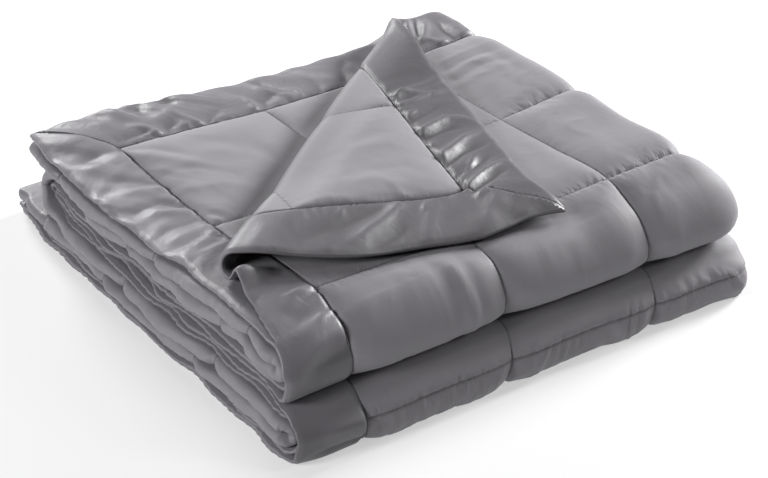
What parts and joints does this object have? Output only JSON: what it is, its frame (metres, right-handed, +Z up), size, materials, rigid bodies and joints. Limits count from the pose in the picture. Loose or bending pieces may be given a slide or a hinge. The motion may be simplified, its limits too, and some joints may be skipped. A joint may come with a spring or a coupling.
{
  "type": "down alternative blanket",
  "caption": "Box-quilted down alternative blanket with wide satin binding, folded into a stack, with a corner of its top layer turned back.",
  "frame": {"origin": "middle of the folded stack's footprint, on the surface that it lies on", "axes": "+Z up through the layers, +X along the two front folds to the creased end, +Y to the back, where the head and foot ends lie"},
  "size_m": [0.6552, 0.661, 0.1792],
  "materials": {
    "microfibre": "soft matte brushed microfibre with a faint sheen",
    "satin_binding": "smooth satin weave, glossier than the panel"
  },
  "bodies": {
    "root": {"quilted_panel": "microfibre", "left_side_binding": "satin_binding", "right_side_binding": "satin_binding", "head_end_binding": "satin_binding", "foot_end_binding": "satin_binding"}
  },
  "joints": []
}
